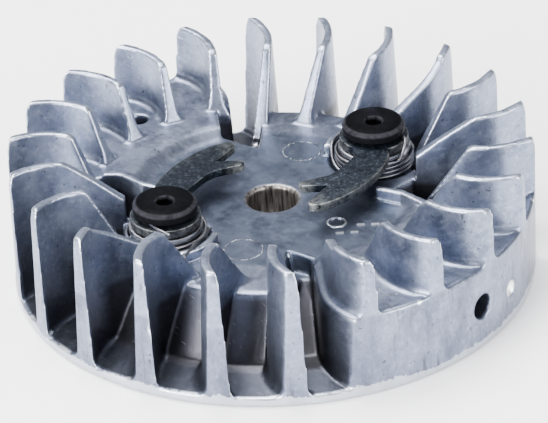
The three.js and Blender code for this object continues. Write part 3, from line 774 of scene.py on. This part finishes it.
def pawl_steel():
    """Heat-treated steel with a mottled grey-green skin; its edges are painted bright, part rubbing and part painted
    highlight.
    """
    n = Nodes("pawl_steel")
    n.shader.inputs["Metallic"].default_value = 0.8
    n.shader.inputs["Specular IOR Level"].default_value = 0.3
    mottle = n.noise(650, 6, 0.75)
    fine = n.noise(1500, 4, 0.6)
    colour = n.mix(n.span(mottle, 0.38, 0.62), (0.003, 0.0045, 0.008), (0.0088, 0.0128, 0.02))
    colour = n.mix(n.span(fine, 0.52, 0.7, 0, 0.6), colour, (0.06, 0.072, 0.088))
    pointed = n.add("ShaderNodeNewGeometry").outputs["Pointiness"]
    # Edges painted bright: part rubbing, part painted highlight.
    edges = n.math("MULTIPLY", n.span(pointed, 0.52, 0.6), n.span(mottle, 0.35, 0.6))
    colour = n.mix(edges, colour, (0.45, 0.46, 0.44))
    n.link(colour, n.shader.inputs["Base Color"])
    n.link(n.span(mottle, 0.3, 0.7, 0.38, 0.62), n.shader.inputs["Roughness"])
    n.bump(n.math("ADD", mottle, n.math("MULTIPLY", fine, 0.5)), 0.4, 0.00012)
    return n.material


def black_steel():
    """Black phosphated screw steel; its head bevel and rounded edges are painted lighter, a painted highlight with a
    little rubbing.
    """
    n = Nodes("black_steel")
    n.shader.inputs["Specular IOR Level"].default_value = 0.015
    mottle = n.noise(900, 5, 0.6)
    colour = n.mix(n.span(mottle, 0.35, 0.7), (0.0006, 0.0006, 0.001), (0.002, 0.002, 0.0028))
    height = n.height()
    # Painted highlight with a little rubbing: the ring of the head bevel is lightened.
    bevel = n.math("MULTIPLY", n.span(height, 0.0266, 0.02695), n.span(height, 0.02768, 0.0275))
    colour = n.mix(n.math("MULTIPLY", bevel, n.span(mottle, 0.3, 0.65, 0.25, 0.9)), colour, (0.022, 0.022, 0.026))
    pointed = n.add("ShaderNodeNewGeometry").outputs["Pointiness"]
    # Edges painted lighter: painted highlight with a little rubbing.
    colour = n.mix(n.span(pointed, 0.52, 0.58, 0, 0.5), colour, (0.02, 0.02, 0.024))
    n.link(colour, n.shader.inputs["Base Color"])
    n.link(n.span(mottle, 0.3, 0.7, 0.28, 0.36), n.shader.inputs["Roughness"])
    n.bump(mottle, 0.08, 0.00005)
    return n.material


def turned_steel(name, low, high, roughness):
    """Bright steel with fine lathe or drawing marks."""
    n = Nodes(name)
    n.shader.inputs["Metallic"].default_value = 1
    lines = n.noise(900, 3, 0.6, (0.3, 0.3, 4))
    n.link(n.mix(n.span(lines, 0.35, 0.65), low, high), n.shader.inputs["Base Color"])
    n.link(n.span(lines, 0.3, 0.7, roughness, roughness + 0.18), n.shader.inputs["Roughness"])
    n.bump(lines, 0.2, 0.00006)
    return n.material


def sintered_magnet():
    """Dark sintered magnet with a dry, faintly speckled face."""
    n = Nodes("sintered_magnet")
    n.shader.inputs["Metallic"].default_value = 0.3
    speckle = n.noise(2200, 4, 0.7)
    n.link(n.mix(n.span(speckle, 0.4, 0.65), (0.03, 0.03, 0.033), (0.09, 0.09, 0.095)), n.shader.inputs["Base Color"])
    n.link(n.span(speckle, 0.3, 0.7, 0.5, 0.7), n.shader.inputs["Roughness"])
    n.bump(speckle, 0.25, 0.00008)
    return n.material


def finish_piece(obj, material, body, slot_name, *stands_for):
    obj.data.materials.clear()
    obj.data.materials.append(material)
    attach(obj, body)
    if stands_for:
        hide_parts(*stands_for)


# ---- Assembly --------------------------------------------------------------------------------

aluminium = cast_aluminium()
arm_steel = pawl_steel()
screw_steel = black_steel()
bush_steel = turned_steel("bush_steel", (0.16, 0.165, 0.18), (0.36, 0.37, 0.4), 0.22)
spring_steel = turned_steel("spring_steel", (0.1, 0.1, 0.115), (0.22, 0.22, 0.24), 0.28)
ground_steel = turned_steel("ground_steel", (0.1, 0.097, 0.093), (0.2, 0.195, 0.185), 0.35)
flash_metal = turned_steel("flash_metal", (0.02, 0.022, 0.028), (0.3, 0.32, 0.37), 0.4)
magnet_face = sintered_magnet()

finish_piece(casting(), aluminium, "root", "casting", "flywheel_casting")
finish_piece(cast_marks(), aluminium, "root", "casting")
finish_piece(ejector_rings(), flash_metal, "root", "casting")
for letter, turn in STATIONS.items():
    finish_piece(pawl(letter, turn), arm_steel, f"pawl_{letter}", "pawl_steel", f"pawl_{letter}")
    finish_piece(shoulder_screw(letter, turn), screw_steel, "root", "black_steel", f"pawl_screw_{letter}")
    finish_piece(pivot_bush(letter, turn), bush_steel, "root", "bright_steel", f"pawl_bush_{letter}")
    wire = pawl_spring(letter, turn)
    wire.data.materials.clear()
    wire.data.materials.append(spring_steel)
    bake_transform(wire)
    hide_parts(f"pawl_spring_{letter}")

for node, material in (("magnet", magnet_face), ("pole_shoe_leading", ground_steel), ("pole_shoe_trailing", ground_steel)):
    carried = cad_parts[node]
    carried.data.materials.clear()
    carried.data.materials.append(material)


# ---- Floor, light and camera -----------------------------------------------------------------

def pale_floor():
    clear_selection()
    bpy.ops.mesh.primitive_plane_add(size=6, location=(0, 0, -0.0004))
    floor = named("floor")
    n = Nodes("pale_floor")
    n.shader.inputs["Base Color"].default_value = (0.93, 0.93, 0.94, 1)
    n.shader.inputs["Roughness"].default_value = 0.7
    n.shader.inputs["Specular IOR Level"].default_value = 0.2
    floor.data.materials.append(n.material)


def soft_light(name, place, size, power, colour=(1, 1, 1)):
    lamp = bpy.data.lights.new(name, "AREA")
    lamp.shape = "DISK"
    lamp.size = size
    lamp.energy = power
    lamp.color = colour
    obj = bpy.data.objects.new(name, lamp)
    obj.location = place
    aim = Vector((0, 0, 0.01)) - Vector(place)
    obj.rotation_euler = aim.to_track_quat("-Z", "Y").to_euler()
    bpy.context.collection.objects.link(obj)


VIEW_TURN = math.radians(37.27)


def around(x, y, z):
    """A place given with the viewer on the -Y side, turned to the part's own frame."""
    return tuple(Matrix.Rotation(VIEW_TURN, 3, "Z") @ Vector((x, y, z)))


def studio():
    world = bpy.data.worlds.new("studio")
    world.use_nodes = True
    world.node_tree.nodes["Background"].inputs["Color"].default_value = (0.95, 0.97, 1, 1)
    world.node_tree.nodes["Background"].inputs["Strength"].default_value = 0.5
    bpy.context.scene.world = world
    soft_light("overhead", around(-0.25, 0.25, 1.0), 0.9, 40)
    soft_light("front_left", around(-0.75, -0.75, 0.5), 0.8, 47)
    soft_light("front_right", around(0.8, -0.6, 0.45), 0.8, 21)
    pale_floor()


def look_from_the_front():
    """A long lens above the pawls, turned a little about its own axis."""
    distance, elevation, roll = 0.8674, math.radians(30.5), math.radians(-2.65)
    target = Vector(around(0.00023, 0, 0.01394))
    back = Vector(around(0, -math.cos(elevation), math.sin(elevation)))
    data = bpy.data.cameras.new("front")
    data.sensor_width = 36
    data.lens = 248.7
    camera = bpy.data.objects.new("front", data)
    camera.location = target + back * distance
    turn = back.to_track_quat("Z", "Y").to_matrix()
    camera.rotation_euler = (turn @ Matrix.Rotation(roll, 3, "Z")).to_euler()
    bpy.context.collection.objects.link(camera)
    bpy.context.scene.camera = camera


studio()
look_from_the_front()
